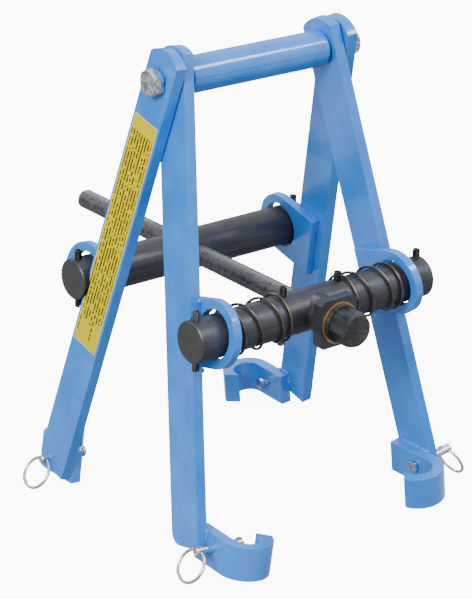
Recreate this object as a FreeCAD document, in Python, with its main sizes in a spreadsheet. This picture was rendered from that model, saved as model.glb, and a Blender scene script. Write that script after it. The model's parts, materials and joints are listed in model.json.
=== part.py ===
"""Coil spring compressor of the hinged clamshell kind, in millimetres.

Frame: +X along the crossbar towards the lock nut, -Y towards the drive head of the forcing screw, +Z up.
The origin is on the floor, under the middle of the pivot bolt.

Four flat-bar legs hang from one pivot bolt, two leaning to the front and two to the back, and all four
splay outwards.  Each leg carries a ring lug for a cross bar and a hook that holds one side of a spring coil.
The forcing screw runs through the boss on the front bar into the back bar and draws the legs together.

Each leg has a frame of its own: its origin on the pivot axis at the leg's inner face, +Z up the leg and +Y
towards the side of the tool that the leg leans to.  Seen in that frame the legs come in two hands, which
differ only in the sign of X.
"""
import FreeCAD, Part
import math
import os

import Sketcher
from FreeCAD import Placement, Rotation, Vector

X_AXIS = Vector(1, 0, 0)
Y_AXIS = Vector(0, 1, 0)
Z_AXIS = Vector(0, 0, 1)

DIMENSIONS = [
    ("pivot_height", 477.0, "pivot axis above the floor"),
    ("leg_lean", 14.1, "degrees between a leg and the upright, seen along the pivot"),
    ("front_splay", 7.6, "degrees that the front legs spread sideways"),
    ("back_splay", 6.8, "degrees that the back legs spread sideways"),
    ("leg_width", 44.45, "flat bar 1-3/4 in wide"),
    ("leg_thickness", 12.7, "flat bar 1/2 in thick"),
    ("leg_below", 476.0, "pivot axis to the foot end of the bar"),
    ("leg_crown", 31.5, "radius of the crown about the pivot"),
    ("foot_round", 13.0, "radius of the rounded foot corner"),
    ("inner_face", 91.3, "middle of the tool to an inner leg's inner face, along the pivot"),
    ("leg_gap", 3.4, "gap between the two legs of a side, along the pivot"),
    ("crossbar_diameter", 38.1, "handle sleeve 1-1/2 in"),
    ("crossbar_length", 176.0, "handle sleeve, clear of the splayed legs"),
    ("bolt_diameter", 15.88, "pivot bolt 5/8 in"),
    ("bolt_bore", 16.02, "running bore on the pivot bolt"),
    ("bolt_flats", 27.0, "heavy hexagon across flats"),
    ("bolt_head", 10.3, "pivot bolt head height"),
    ("nut_height", 13.5, "lock nut height"),
    ("bolt_tail", 3.5, "thread left outside the lock nut"),
    ("bolt_float", 0.5, "end play of the tilted legs under the head and the nut"),
    ("bar_drop", 237.0, "pivot axis down to the cross bars"),
    ("bar_reach", 102.0, "middle of the tool out to a cross bar"),
    ("bar_diameter", 44.45, "cross bars 1-3/4 in"),
    ("bar_length", 308.0, "cross bars"),
    ("bar_chamfer", 1.2, "chamfer on the bar ends"),
    ("lug_radius", 35.4, "outer radius of a lug"),
    ("lug_bore", 50.8, "lug hole, oversize on the bar"),
    ("lug_rise", 1.9, "lug hole above the bar that sits low in it"),
    ("lug_thickness", 9.5, "lug plate 3/8 in"),
    ("lug_overlap", 34.0, "how far a lug covers its leg's inner face"),
    ("hook_height", 36.5, "hook, bent from flat bar 12.7 mm thick"),
    ("hook_thickness", 12.7, "hook bar 1/2 in thick"),
    ("bend_radius", 28.5, "outer radius of the hook's bend"),
    ("tip_return", 5.0, "hook tip's inner corner, back from the bend centre"),
    ("front_left_reach", 28.5, "leg edge to the bend centre of the front left hook"),
    ("front_right_reach", 13.5, "leg edge to the bend centre of the front right hook"),
    ("back_left_reach", 8.0, "leg edge to the bend centre of the back left hook"),
    ("back_right_reach", 28.5, "leg edge to the bend centre of the back right hook"),
    ("front_left_overlap", 16.0, "front left hook's shank, behind the leg edge"),
    ("front_right_overlap", 46.0, "front right hook's shank, behind the leg edge"),
    ("back_left_overlap", 40.0, "back left hook's shank, behind the leg edge"),
    ("back_right_overlap", 16.0, "back right hook's shank, behind the leg edge"),
    ("front_left_pin", 10.5, "leg edge out to the front left retaining pin"),
    ("front_right_pin", -8.0, "leg edge out to the front right retaining pin"),
    ("back_left_pin", -9.0, "leg edge out to the back left retaining pin"),
    ("back_right_pin", 11.5, "leg edge out to the back right retaining pin"),
    ("pin_drop", 15.5, "hook top down to the retaining pin"),
    ("pin_diameter", 9.5, "retaining pin 3/8 in"),
    ("pin_bore", 9.66, "running bore for the retaining pin"),
    ("pin_length", 54.4, "retaining pin under its head"),
    ("pin_head_diameter", 12.7, "retaining pin head 1/2 in"),
    ("pin_head_height", 3.2, "retaining pin head"),
    ("pin_eye", 4.7, "cross hole in the pin's tail"),
    ("pin_eye_setback", 5.2, "cross hole back from the pin's end"),
    ("ring_radius", 17.4, "split ring, to the middle of its wire"),
    ("ring_wire", 3.0, "split ring wire"),
    ("ring_rest", 0.3, "lowest point of a leaning split ring above the floor"),
    ("screw_diameter", 22.2, "forcing screw 7/8 in"),
    ("screw_bore", 23.0, "clearance bore for the forcing screw"),
    ("screw_tail", 403.0, "front bar axis to the screw's far end"),
    ("screw_chamfer", 2.6, "chamfer on the screw's far end"),
    ("boss_width", 47.0, "screw boss on the front bar"),
    ("boss_height", 52.0, "screw boss"),
    ("boss_thickness", 12.0, "screw boss plate"),
    ("boss_face", 46.0, "front bar axis to the boss's front face"),
    ("boss_chamfer", 4.0, "chamfer round the boss plate"),
    ("boss_neck", 40.0, "round neck between the bar and the boss plate"),
    ("washer_diameter", 45.0, "bronze thrust washer"),
    ("washer_thickness", 2.4, "bronze thrust washer"),
    ("thrust_play", 0.3, "end play between the washer and the screw's flange"),
    ("flange_diameter", 40.6, "screw head flange"),
    ("flange_thickness", 4.0, "screw head flange"),
    ("drive_flats", 33.3, "drive hexagon 1-5/16 in across flats"),
    ("drive_length", 22.5, "drive hexagon"),
    ("drive_nose", 4.6, "length of the cone that eases the drive hexagon's corners"),
    ("roll_pin_diameter", 8.0, "spring pins in the cross bars"),
    ("roll_pin_bore", 4.6, "hollow of a spring pin"),
    ("roll_pin_slit", 1.2, "slit of a spring pin"),
    ("roll_pin_length", 64.0, "spring pins, through the bar"),
    ("outer_pin", 146.4, "middle of the tool to an outer spring pin"),
    ("inner_pin", 36.5, "middle of the tool to an inner spring pin"),
    ("coil_wire", 3.0, "spreader spring wire"),
    ("coil_radius", 24.8, "spreader spring, to the middle of its wire"),
    ("coil_start", 42.6, "middle of the tool to the spreader spring's inner end"),
    ("coil_length", 66.0, "spreader spring"),
    ("coil_pitch", 16.5, "spreader spring"),
    ("label_width", 39.0, "blank label on the back left leg"),
    ("label_length", 270.0, "blank label"),
    ("label_top", 46.0, "pivot axis down the leg to the label"),
    ("label_thickness", 0.3, "blank label"),
]

# leg name: (half turn about Z that points its +Y outwards, hand of X)
LEGS = {
    "front_left": (180, 1),
    "front_right": (180, -1),
    "back_left": (0, -1),
    "back_right": (0, 1),
}
# how far each pin's head face stands inwards of its leg's inner face at rest
PIN_HEADS = {"front_left": 37.0, "front_right": 17.0, "back_left": 37.0, "back_right": 24.0}

doc = FreeCAD.newDocument("coil_spring_compressor")
sheet = doc.addObject("Spreadsheet::Sheet", "sizes")
for row, (alias, value, meaning) in enumerate(DIMENSIONS, start=1):
    sheet.set(f"A{row}", meaning)
    sheet.set(f"B{row}", str(value))
    sheet.setAlias(f"B{row}", alias)
doc.recompute()


def size(alias):
    """The number in the sheet's cell of that name."""
    return float(sheet.get(alias))


def bind(thing, **expressions):
    """Bind properties of an object to expressions on the sheet's cells."""
    for name, expression in expressions.items():
        thing.setExpression(name, expression)
    return thing


def box(name, length, width, height, corner):
    """A box of bound sizes; corner is the place of its lowest corner."""
    solid = bind(doc.addObject("Part::Box", name), Length=length, Width=width, Height=height)
    solid.Placement = Placement(corner, Rotation())
    return solid


def rod(name, diameter, length, start, direction, placement=None):
    """A round rod of bound sizes from start along direction, in the placement's frame."""
    solid = bind(doc.addObject("Part::Cylinder", name), Radius=f"{diameter} / 2", Height=length)
    solid.Placement = (placement or Placement()) * Placement(start, Rotation(Z_AXIS, direction))
    return solid


def hexagon(name, flats, length, start, direction):
    """A hexagonal prism of bound size across its flats, from start along direction."""
    solid = bind(doc.addObject("Part::Prism", name), Circumradius=f"{flats} / sqrt(3)", Height=length)
    solid.Polygon = 6
    solid.Placement = Placement(start, Rotation(Z_AXIS, direction))
    return solid


def join(name, pieces):
    """The fusion of several objects."""
    fusion = doc.addObject("Part::MultiFuse", name)
    fusion.Shapes = pieces
    return fusion


def overlap(name, first, second):
    """The common part of two objects."""
    common = doc.addObject("Part::MultiCommon", name)
    common.Shapes = [first, second]
    return common


def cut(name, base, tools):
    """The base with every tool taken out of it."""
    tool = tools[0] if len(tools) == 1 else join(name + "_tools", tools)
    result = doc.addObject("Part::Cut", name)
    result.Base = base
    result.Tool = tool
    return result


def chamfer(name, base, width, wanted):
    """Chamfer the base's edges for which wanted(edge) is true."""
    doc.recompute()
    result = doc.addObject("Part::Chamfer", name)
    result.Base = base
    result.Edges = [(i, width, width) for i, edge in enumerate(base.Shape.Edges, start=1) if wanted(edge)]
    return result


def body_with_sketch(name, plane):
    """A PartDesign body and a sketch attached to the body's own origin plane."""
    body = doc.addObject("PartDesign::Body", name)
    sketch = body.newObject("Sketcher::SketchObject", name + "_sketch")
    origin = next(item for item in body.Origin.OriginFeatures if item.Role == plane)
    sketch.AttachmentSupport = [(origin, "")]
    sketch.MapMode = "FlatFace"
    return body, sketch


def is_front(leg):
    """True for a front leg, which is next to the sleeve; the back legs are outside the front ones."""
    return leg.startswith("front")


def splay(leg):
    """Degrees that a leg spreads sideways."""
    return size("front_splay") if is_front(leg) else size("back_splay")


def leg_frame(leg):
    """Frame of a leg: on the pivot axis at its inner face, +Z up the leg, +Y outwards."""
    half_turn, hand = LEGS[leg]
    face = size("inner_face")
    if not is_front(leg):
        face += size("leg_thickness") / math.cos(math.radians(size("front_splay"))) + size("leg_gap")
    turned = Placement(Vector(0, 0, size("pivot_height")), Rotation(Z_AXIS, half_turn))
    leaned = Placement(Vector(hand * face, 0, 0), Rotation(X_AXIS, size("leg_lean")))
    splayed = Placement(Vector(), Rotation(Y_AXIS, -hand * splay(leg)))
    return turned * leaned * splayed


def hook_frame(leg):
    """Frame of a hook: on the leg's inner face and outer edge at the hook's top, turned so +Y is level.

    The hook sits as far down the leg as puts its lowest corner on the floor.
    """
    lean = math.radians(size("leg_lean"))
    sideways = math.radians(splay(leg))
    level = Rotation(X_AXIS, -math.degrees(math.atan(math.cos(sideways) * math.tan(lean))))
    edge = Vector(0, size("leg_width") / 2, 0)
    lowest = Vector(-LEGS[leg][1] * 2 * size("bend_radius"), size(f"{leg}_reach"), -size("hook_height"))
    height = (leg_frame(leg) * Placement(edge, level)).multVec(lowest).z
    station = height / (math.cos(lean) * math.cos(sideways))
    return leg_frame(leg) * Placement(edge - Z_AXIS * station, level)


def pin_place(leg):
    """Middle of the pin hole at the leg's inner face, in the hook's frame."""
    return Vector(0, size(f"{leg}_pin"), -size("pin_drop"))


def make_leg(leg):
    """Flat bar with a crowned top: a rounded rear foot corner, bores, and an edge hollowed round the cross bar."""
    hand = LEGS[leg][1]
    body, sketch = body_with_sketch(f"bar_of_{leg}", "YZ_Plane")
    half = size("leg_width") / 2
    crown = size("leg_crown")
    shoulder = math.asin(half / crown)
    circle = Part.Circle(Vector(), Z_AXIS, crown)
    foot_left = Vector(-half, -size("leg_below"), 0)
    foot_right = Vector(half, -size("leg_below"), 0)
    top_right = Vector(half, crown * math.cos(shoulder), 0)
    top_left = Vector(-half, crown * math.cos(shoulder), 0)
    sketch.addGeometry(Part.LineSegment(foot_left, foot_right), False)
    sketch.addGeometry(Part.LineSegment(foot_right, top_right), False)
    sketch.addGeometry(Part.ArcOfCircle(circle, math.pi / 2 - shoulder, math.pi / 2 + shoulder), False)
    sketch.addGeometry(Part.LineSegment(top_left, foot_left), False)
    for first, second in ((0, 1), (1, 2), (2, 3), (3, 0)):
        sketch.addConstraint(Sketcher.Constraint("Coincident", first, 2, second, 1))
    sketch.addConstraint(Sketcher.Constraint("Coincident", 2, 3, -1, 1))
    sketch.addConstraint(Sketcher.Constraint("Horizontal", 0))
    sketch.addConstraint(Sketcher.Constraint("Vertical", 1))
    sketch.addConstraint(Sketcher.Constraint("Vertical", 3))
    fixed = (
        (Sketcher.Constraint("DistanceX", 0, 1, 0, 2, 2 * half), "sizes.leg_width"),
        (Sketcher.Constraint("DistanceX", -1, 1, 0, 2, half), "sizes.leg_width / 2"),
        (Sketcher.Constraint("DistanceY", 0, 2, -1, 1, size("leg_below")), "sizes.leg_below"),
        (Sketcher.Constraint("Radius", 2, crown), "sizes.leg_crown"),
    )
    for constraint, expression in fixed:
        index = sketch.addConstraint(constraint)
        sketch.setExpression(f"Constraints[{index}]", expression)
    plate = body.newObject("PartDesign::Pad", f"plate_of_{leg}")
    plate.Profile = sketch
    plate.Reversed = hand < 0
    bind(plate, Length="sizes.leg_thickness")
    sketch.Visibility = False
    doc.recompute()
    corner_y = -half if is_front(leg) else half
    corner = [
        f"Edge{i}" for i, edge in enumerate(plate.Shape.Edges, start=1)
        if abs(edge.CenterOfMass.y - corner_y) < 0.01 and abs(edge.CenterOfMass.z + size("leg_below")) < 0.01
    ]
    rounded = body.newObject("PartDesign::Fillet", f"foot_of_{leg}")
    rounded.Base = (plate, corner)
    bind(rounded, Radius="sizes.foot_round")
    body.Tip = rounded

    frame = leg_frame(leg)
    pivot = frame.Rotation.inverted().multVec(X_AXIS)
    outwards, up = lug_centre(leg)
    tools = [
        rod(f"bore_of_{leg}", "sizes.bolt_bore", "6 * sizes.leg_thickness",
            pivot * (-3 * size("leg_thickness")), pivot),
        rod(f"scallop_of_{leg}", "sizes.lug_bore", "4 * sizes.leg_thickness",
            Vector(-2 * size("leg_thickness"), outwards, up), X_AXIS),
    ]
    if size(f"{leg}_pin") < 0:
        local = frame.inverse() * hook_frame(leg) * Placement(pin_place(leg), Rotation())
        tools.append(rod(f"pin_hole_of_{leg}", "sizes.pin_bore", "4 * sizes.leg_thickness",
                         Vector(-2 * size("leg_thickness"), 0, 0), X_AXIS, local))
    bar = cut(f"leg_{leg}", body, tools)
    bar.Placement = frame
    return bar


def lug_centre(leg):
    """Middle of a lug's hole in its leg's frame: its place along +Y and +Z there."""
    lean = math.radians(size("leg_lean"))
    drop = size("bar_drop") - size("lug_rise")
    outwards = size("bar_reach") * math.cos(lean) - drop * math.sin(lean)
    down = size("bar_reach") * math.sin(lean) + drop * math.cos(lean)
    return outwards, -down / math.cos(math.radians(splay(leg)))


def make_lug(leg):
    """Ring plate welded to the leg's inner face: a rounded nose round the bar hole, a square root on the leg."""
    hand = LEGS[leg][1]
    outwards, up = lug_centre(leg)
    root = size("leg_width") / 2 - size("lug_overlap")
    back = -hand * size("lug_thickness")
    start = Vector(0, outwards, up)
    nose = rod(f"nose_of_{leg}", "2 * sizes.lug_radius", "sizes.lug_thickness", start, X_AXIS * -hand)
    plate = bind(doc.addObject("Part::Box", f"root_of_{leg}"), Length="sizes.lug_thickness",
                 Height="2 * sizes.lug_radius")
    plate.Width = outwards - root
    plate.Placement = Placement(Vector(min(0, back), root, up - size("lug_radius")), Rotation())
    hole = rod(f"eye_of_{leg}", "sizes.lug_bore", "3 * sizes.lug_thickness",
               start + X_AXIS * hand * size("lug_thickness"), X_AXIS * -hand)
    lug = cut(f"lug_{leg}", join(f"blank_of_{leg}", [nose, plate]), [hole])
    lug.Placement = leg_frame(leg)
    return lug


def make_hook(leg):
    """J-shaped hook bent from flat bar: a shank on the leg, a half-round bend and a tip cut at 45 degrees."""
    inwards = -LEGS[leg][1]
    reach = size(f"{leg}_reach")
    drop = -size("hook_height")
    bend = size("bend_radius")
    back = -size(f"{leg}_overlap")
    width = 2 * bend
    tip_back = reach - size("tip_return")

    def block(name, first, last, start, end):
        """A full-height block between two distances inwards and two distances along the shank."""
        low = min(inwards * first, inwards * last)
        solid = bind(doc.addObject("Part::Box", f"{name}_of_{leg}"), Height="sizes.hook_height")
        solid.Length = abs(last - first)
        solid.Width = end - start
        solid.Placement = Placement(Vector(low, start, drop), Rotation())
        return solid

    centre = Vector(inwards * bend, reach, drop)
    disc = rod(f"disc_of_{leg}", "2 * sizes.bend_radius", "sizes.hook_height", centre, Z_AXIS)
    inside = rod(f"throat_of_{leg}", "2 * (sizes.bend_radius - sizes.hook_thickness)", "3 * sizes.hook_height",
                 centre + Z_AXIS * drop, Z_AXIS)
    front = block("front", 0, width, reach, reach + bend)
    bent = cut(f"bend_of_{leg}", overlap(f"half_disc_of_{leg}", disc, front), [inside])
    shank = block("shank", 0, size("hook_thickness"), back, reach)
    tip = block("tip", width - size("hook_thickness"), width, tip_back, reach)
    bevel_start = Vector(inwards * (width - size("hook_thickness")), tip_back, 2 * drop)
    bevel = bind(doc.addObject("Part::Box", f"bevel_of_{leg}"), Height="3 * sizes.hook_height",
                 Length="2 * sizes.hook_thickness", Width="2 * sizes.hook_thickness")
    turned = Placement(bevel_start, Rotation(Z_AXIS, 45 * inwards))
    side = 0 if inwards > 0 else -2 * size("hook_thickness")
    bevel.Placement = turned * Placement(Vector(side, -2 * size("hook_thickness"), 0), Rotation())
    pin_hole = rod(f"hook_hole_of_{leg}", "sizes.pin_bore", "3 * sizes.hook_thickness",
                   pin_place(leg) - X_AXIS * inwards * size("hook_thickness"), X_AXIS * inwards)
    blank = join(f"hook_blank_of_{leg}", [shank, bent, tip])
    hook = cut(f"hook_{leg}", blank, [bevel, pin_hole])
    hook.Placement = hook_frame(leg)
    return hook


def pin_frame(leg):
    """Frame of a retaining pin: its tail end, +Z along the pin towards its head, +Y level."""
    inwards = -LEGS[leg][1]
    tail = PIN_HEADS[leg] - size("pin_head_height") - size("pin_length")
    start = pin_place(leg) + X_AXIS * inwards * tail
    return hook_frame(leg) * Placement(start, Rotation(Y_AXIS, 90 * inwards))


def make_pin(leg):
    """Retaining pin with a flat head and a cross hole in its tail for the split ring."""
    frame = pin_frame(leg)
    shaft = rod(f"shaft_of_{leg}", "sizes.pin_diameter", "sizes.pin_length", Vector(), Z_AXIS)
    shaft_eased = chamfer(f"shaft_end_of_{leg}", shaft, 0.8, lambda edge: edge.CenterOfMass.z < 0.1 and edge.Closed)
    head = rod(f"head_of_{leg}", "sizes.pin_head_diameter", "sizes.pin_head_height",
               Z_AXIS * size("pin_length"), Z_AXIS)
    eye = rod(f"pin_eye_of_{leg}", "sizes.pin_eye", "3 * sizes.pin_diameter",
              Vector(0, -1.5 * size("pin_diameter"), size("pin_eye_setback")), Y_AXIS)
    pin = cut(f"retaining_pin_{leg}", join(f"pin_blank_of_{leg}", [shaft_eased, head]), [eye])
    pin.Placement = frame
    return pin


def ring_hang():
    """Pin's cross hole to the middle of the ring that rests in it."""
    sag = (size("pin_diameter") / 2) ** 2 / (4 * size("ring_radius"))
    return size("ring_radius") - sag


def ring_frame(leg):
    """Frame of a split ring: the middle of the pin's cross hole, +Y along the hole, -Z through the ring's middle.

    Each ring leans outwards from the hole until it rests on the floor.
    """
    hole = pin_frame(leg) * Placement(Z_AXIS * size("pin_eye_setback"), Rotation())
    upright = Rotation(Vector(), hook_frame(leg).Rotation.multVec(Y_AXIS), Z_AXIS, "YZX")
    height = hole.Base.z - size("ring_wire") / 2 - size("ring_rest")
    lean = math.degrees(math.acos(height / (ring_hang() + size("ring_radius"))))
    return Placement(hole.Base, upright * Rotation(Y_AXIS, -LEGS[leg][1] * lean))


def make_ring(leg):
    """Split ring that hangs from the pin's cross hole."""
    ring = bind(doc.addObject("Part::Torus", f"split_ring_{leg}"), Radius1="sizes.ring_radius",
                Radius2="sizes.ring_wire / 2")
    ring.Placement = ring_frame(leg) * Placement(Z_AXIS * -ring_hang(), Rotation(Y_AXIS, 90))
    return ring


def make_label():
    """Blank strip stuck to the outer face of the back left leg, hollowed with the leg round the cross bar."""
    leg = "back_left"
    corner = Vector(-size("leg_thickness") - size("label_thickness"), -size("label_width") / 2,
                    -size("label_top") - size("label_length"))
    strip = box("label_strip", "sizes.label_thickness", "sizes.label_width", "sizes.label_length", corner)
    outwards, up = lug_centre(leg)
    hollow = rod("label_hollow", "sizes.lug_bore", "4 * sizes.leg_thickness",
                 Vector(-2 * size("leg_thickness"), outwards, up), X_AXIS)
    label = cut("blank_label", strip, [hollow])
    label.Placement = leg_frame(leg)
    return label


def make_crossbar():
    """Handle sleeve that turns on the pivot bolt between the inner legs."""
    body, sketch = body_with_sketch("sleeve", "YZ_Plane")
    for index, diameter in enumerate(("sizes.crossbar_diameter", "sizes.bolt_bore")):
        sketch.addGeometry(Part.Circle(Vector(), Z_AXIS, 10.0 + index), False)
        sketch.addConstraint(Sketcher.Constraint("Coincident", index, 3, -1, 1))
        radius = sketch.addConstraint(Sketcher.Constraint("Radius", index, 10.0 + index))
        sketch.setExpression(f"Constraints[{radius}]", f"{diameter} / 2")
    tube = body.newObject("PartDesign::Pad", "sleeve_pad")
    tube.Profile = sketch
    tube.Midplane = True
    bind(tube, Length="sizes.crossbar_length")
    sketch.Visibility = False
    body.Label = "crossbar_sleeve"
    body.Placement = Placement(Vector(0, 0, size("pivot_height")), Rotation())
    return body


def outer_seat():
    """Middle of the tool to the outer legs' outer faces, along the pivot."""
    front, back = (math.cos(math.radians(size(f"{side}_splay"))) for side in ("front", "back"))
    return size("inner_face") + size("leg_gap") + size("leg_thickness") * (1 / front + 1 / back)


def make_pivot_bolt():
    """Bolt through all four legs and the sleeve: head at the left, thread end at the right."""
    lift = Vector(0, 0, size("pivot_height"))
    tilt = math.tan(math.radians(size("back_splay"))) * size("bolt_flats") / math.sqrt(3)
    seat = outer_seat() + tilt + size("bolt_float")
    end = seat + size("nut_height") + size("bolt_tail")
    shank = bind(doc.addObject("Part::Cylinder", "bolt_shank"), Radius="sizes.bolt_diameter / 2")
    shank.Height = seat + end
    shank.Placement = Placement(lift - X_AXIS * seat, Rotation(Z_AXIS, X_AXIS))
    eased = chamfer("bolt_end", shank, 1.2, lambda edge: edge.Closed and edge.CenterOfMass.x > 0)
    head = hexagon("bolt_head", "sizes.bolt_flats", "sizes.bolt_head", lift - X_AXIS * seat, -X_AXIS)
    bolt = join("pivot_bolt", [eased, head])
    nut = hexagon("nut_blank", "sizes.bolt_flats", "sizes.nut_height", lift + X_AXIS * seat, X_AXIS)
    thread = rod("nut_thread", "sizes.bolt_diameter", "3 * sizes.nut_height", lift + X_AXIS * (seat - 10), X_AXIS)
    lock_nut = cut("lock_nut", nut, [thread])
    return [bolt, lock_nut]


def bar_axis(side):
    """Middle of a cross bar; side is -1 for the front bar and 1 for the back bar."""
    return Vector(0, side * size("bar_reach"), size("pivot_height") - size("bar_drop"))


def roll_pins(side, places):
    """Upright spring pins through a cross bar: slit tubes that stop the lugs and the springs."""
    pins = []
    for place in places:
        base = bar_axis(side) + Vector(place, 0, -size("roll_pin_length") / 2)
        name = f"spring_pin_{'front' if side < 0 else 'back'}_{len(pins)}"
        shell = rod(name + "_shell", "sizes.roll_pin_diameter", "sizes.roll_pin_length", base, Z_AXIS)
        hollow = rod(name + "_hollow", "sizes.roll_pin_bore", "sizes.roll_pin_length", base, Z_AXIS)
        slit = box(name + "_slit", "sizes.roll_pin_slit", "sizes.roll_pin_diameter", "sizes.roll_pin_length",
                   base + Vector(-size("roll_pin_slit") / 2, -size("roll_pin_diameter"), 0))
        pins.append(cut(name, shell, [hollow, slit]))
    return pins


def round_bar(name, side):
    """Plain round cross bar with chamfered ends, as a PartDesign body."""
    body, sketch = body_with_sketch(name, "YZ_Plane")
    sketch.addGeometry(Part.Circle(Vector(), Z_AXIS, 20.0), False)
    sketch.addConstraint(Sketcher.Constraint("Coincident", 0, 3, -1, 1))
    radius = sketch.addConstraint(Sketcher.Constraint("Radius", 0, 20.0))
    sketch.setExpression(f"Constraints[{radius}]", "sizes.bar_diameter / 2")
    pad = body.newObject("PartDesign::Pad", name + "_pad")
    pad.Profile = sketch
    pad.Midplane = True
    bind(pad, Length="sizes.bar_length")
    sketch.Visibility = False
    doc.recompute()
    ends = [f"Edge{i}" for i, edge in enumerate(pad.Shape.Edges, start=1) if edge.Closed]
    eased = body.newObject("PartDesign::Chamfer", name + "_ends")
    eased.Base = (pad, ends)
    bind(eased, Size="sizes.bar_chamfer")
    body.Tip = eased
    body.Placement = Placement(bar_axis(side), Rotation())
    return body


def make_front_bar(pins):
    """Front cross bar with the screw boss on its front, bored for the screw and the spring pins."""
    axis = bar_axis(-1)
    bar = round_bar("front_round", -1)
    face = axis - Y_AXIS * size("boss_face")
    neck = rod("boss_neck", "sizes.boss_neck", "sizes.boss_face - sizes.boss_thickness / 2", axis, -Y_AXIS)
    plate = box("boss_plate", "sizes.boss_width", "sizes.boss_thickness", "sizes.boss_height",
                face - Vector(size("boss_width") / 2, 0, size("boss_height") / 2))
    corners = chamfer("boss_corners", plate, size("boss_chamfer"),
                      lambda edge: abs(edge.Length - size("boss_thickness")) < 0.01)
    blank = join("front_bar_blank", [bar, neck, corners])
    bore = rod("front_bore", "sizes.screw_bore", "6 * sizes.bar_diameter",
               face - Y_AXIS * size("bar_diameter"), Y_AXIS)
    holes = pin_holes("front", -1, pins)
    return cut("front_cross_bar", blank, [bore] + holes)


def pin_holes(name, side, places):
    """Upright holes through a cross bar for its spring pins."""
    rise = Z_AXIS * size("roll_pin_length")
    return [
        rod(f"{name}_pin_hole_{index}", "sizes.roll_pin_diameter", "2 * sizes.roll_pin_length",
            bar_axis(side) + X_AXIS * place - rise, Z_AXIS)
        for index, place in enumerate(places)
    ]


def make_back_bar(pins):
    """Back cross bar, bored for the screw and its two spring pins."""
    bar = round_bar("back_round", 1)
    start = bar_axis(1) - Y_AXIS * 2 * size("bar_diameter")
    bore = rod("back_bore", "sizes.screw_bore", "4 * sizes.bar_diameter", start, Y_AXIS)
    return cut("back_cross_bar", bar, [bore] + pin_holes("back", 1, pins))


def make_screw():
    """Forcing screw with a flanged hexagonal head, and the bronze washer under the flange."""
    axis = bar_axis(-1)
    seat = axis - Y_AXIS * (size("boss_face") + size("washer_thickness") + size("thrust_play"))
    shank = bind(doc.addObject("Part::Cylinder", "screw_shank"), Radius="sizes.screw_diameter / 2")
    shank.Height = axis.y + size("screw_tail") - seat.y
    shank.Placement = Placement(seat, Rotation(Z_AXIS, Y_AXIS))
    eased = chamfer("screw_end", shank, size("screw_chamfer"),
                    lambda edge: edge.Closed and edge.CenterOfMass.y > 0)
    flange = rod("screw_flange", "sizes.flange_diameter", "sizes.flange_thickness", seat, -Y_AXIS)
    hexagonal = hexagon("drive_blank", "sizes.drive_flats", "sizes.drive_length",
                        seat - Y_AXIS * size("flange_thickness"), -Y_AXIS)
    end = seat.y - size("flange_thickness") - size("drive_length")
    cone = doc.addObject("Part::Cone", "drive_cone")
    slope = "(1 / sqrt(3) - 0.5) / sizes.drive_nose"
    bind(cone, Height="sizes.drive_length", Radius1="sizes.drive_flats / 2",
         Radius2=f"sizes.drive_flats * (0.5 + sizes.drive_length * {slope})")
    cone.Placement = Placement(Vector(0, end, axis.z), Rotation(Z_AXIS, Y_AXIS))
    drive = overlap("drive_hexagon", hexagonal, cone)
    screw = join("forcing_screw", [eased, flange, drive])
    disc = rod("washer_disc", "sizes.washer_diameter", "sizes.washer_thickness",
               axis - Y_AXIS * size("boss_face"), -Y_AXIS)
    hole = rod("washer_hole", "sizes.screw_bore", "4 * sizes.washer_thickness",
               axis - Y_AXIS * (size("boss_face") - size("washer_thickness")), -Y_AXIS)
    return [screw, cut("thrust_washer", disc, [hole])]


def make_spreader_spring(name, direction, wire_start):
    """Compression spring on the front bar that pushes a front lug outwards; wire_start turns it about the bar."""
    helix = bind(doc.addObject("Part::Helix", f"{name}_helix"), Pitch="sizes.coil_pitch",
                 Height="sizes.coil_length", Radius="sizes.coil_radius")
    section = bind(doc.addObject("Part::Circle", f"{name}_section"), Radius="sizes.coil_wire / 2")
    section.Placement = Placement(Vector(size("coil_radius"), 0, 0), Rotation(X_AXIS, 90))
    doc.recompute()
    coil = doc.addObject("Part::Sweep", f"spreader_spring_{name}")
    coil.Sections = [section]
    coil.Spine = (helix, [f"Edge{i + 1}" for i in range(len(helix.Shape.Edges))])
    coil.Solid = True
    coil.Frenet = True
    turned = Rotation(Z_AXIS, direction) * Rotation(Z_AXIS, wire_start)
    coil.Placement = Placement(bar_axis(-1) + direction * size("coil_start"), turned)
    return coil


def make_everything():
    """Every sub-part of the tool, each with its node's name as its label."""
    front_places = [-size("outer_pin"), -size("inner_pin"), size("inner_pin"), size("outer_pin")]
    back_places = [-size("outer_pin"), size("outer_pin")]
    parts = [make_crossbar(), *make_pivot_bolt()]
    for leg in LEGS:
        parts += [make_leg(leg), make_lug(leg), make_hook(leg), make_pin(leg), make_ring(leg)]
    parts.append(make_label())
    parts += [make_front_bar(front_places), make_back_bar(back_places), *make_screw()]
    parts += [make_spreader_spring("left", -X_AXIS, 0), make_spreader_spring("right", X_AXIS, 60)]
    names = ("outer_left", "inner_left", "inner_right", "outer_right")
    for pin, place in zip(roll_pins(-1, front_places), names):
        pin.Label = f"spring_pin_front_{place}"
        parts.append(pin)
    for pin, place in zip(roll_pins(1, back_places), ("left", "right")):
        pin.Label = f"spring_pin_back_{place}"
        parts.append(pin)
    return parts


def export(parts):
    """Check every object and each sub-part's shape, then write the sub-parts."""
    doc.recompute()
    for thing in doc.Objects:
        failed = {"Invalid", "Error"} & set(thing.State)
        if failed:
            raise RuntimeError(f"{thing.Name} is {failed}")
    for part in parts:
        if part.Shape.isNull() or not part.Shape.isValid() or not part.Shape.Solids:
            raise RuntimeError(f"{part.Label} has no valid solid")
    os.makedirs("parts", exist_ok=True)
    for part in parts:
        part.Shape.exportStep(f"parts/{part.Label}.step")
        box_of = part.Shape.optimalBoundingBox(True, False)
        print(f"{part.Label:28s} {part.Shape.Volume / 1000:9.2f} cm3  z {box_of.ZMin:8.2f} to {box_of.ZMax:8.2f}")


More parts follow.
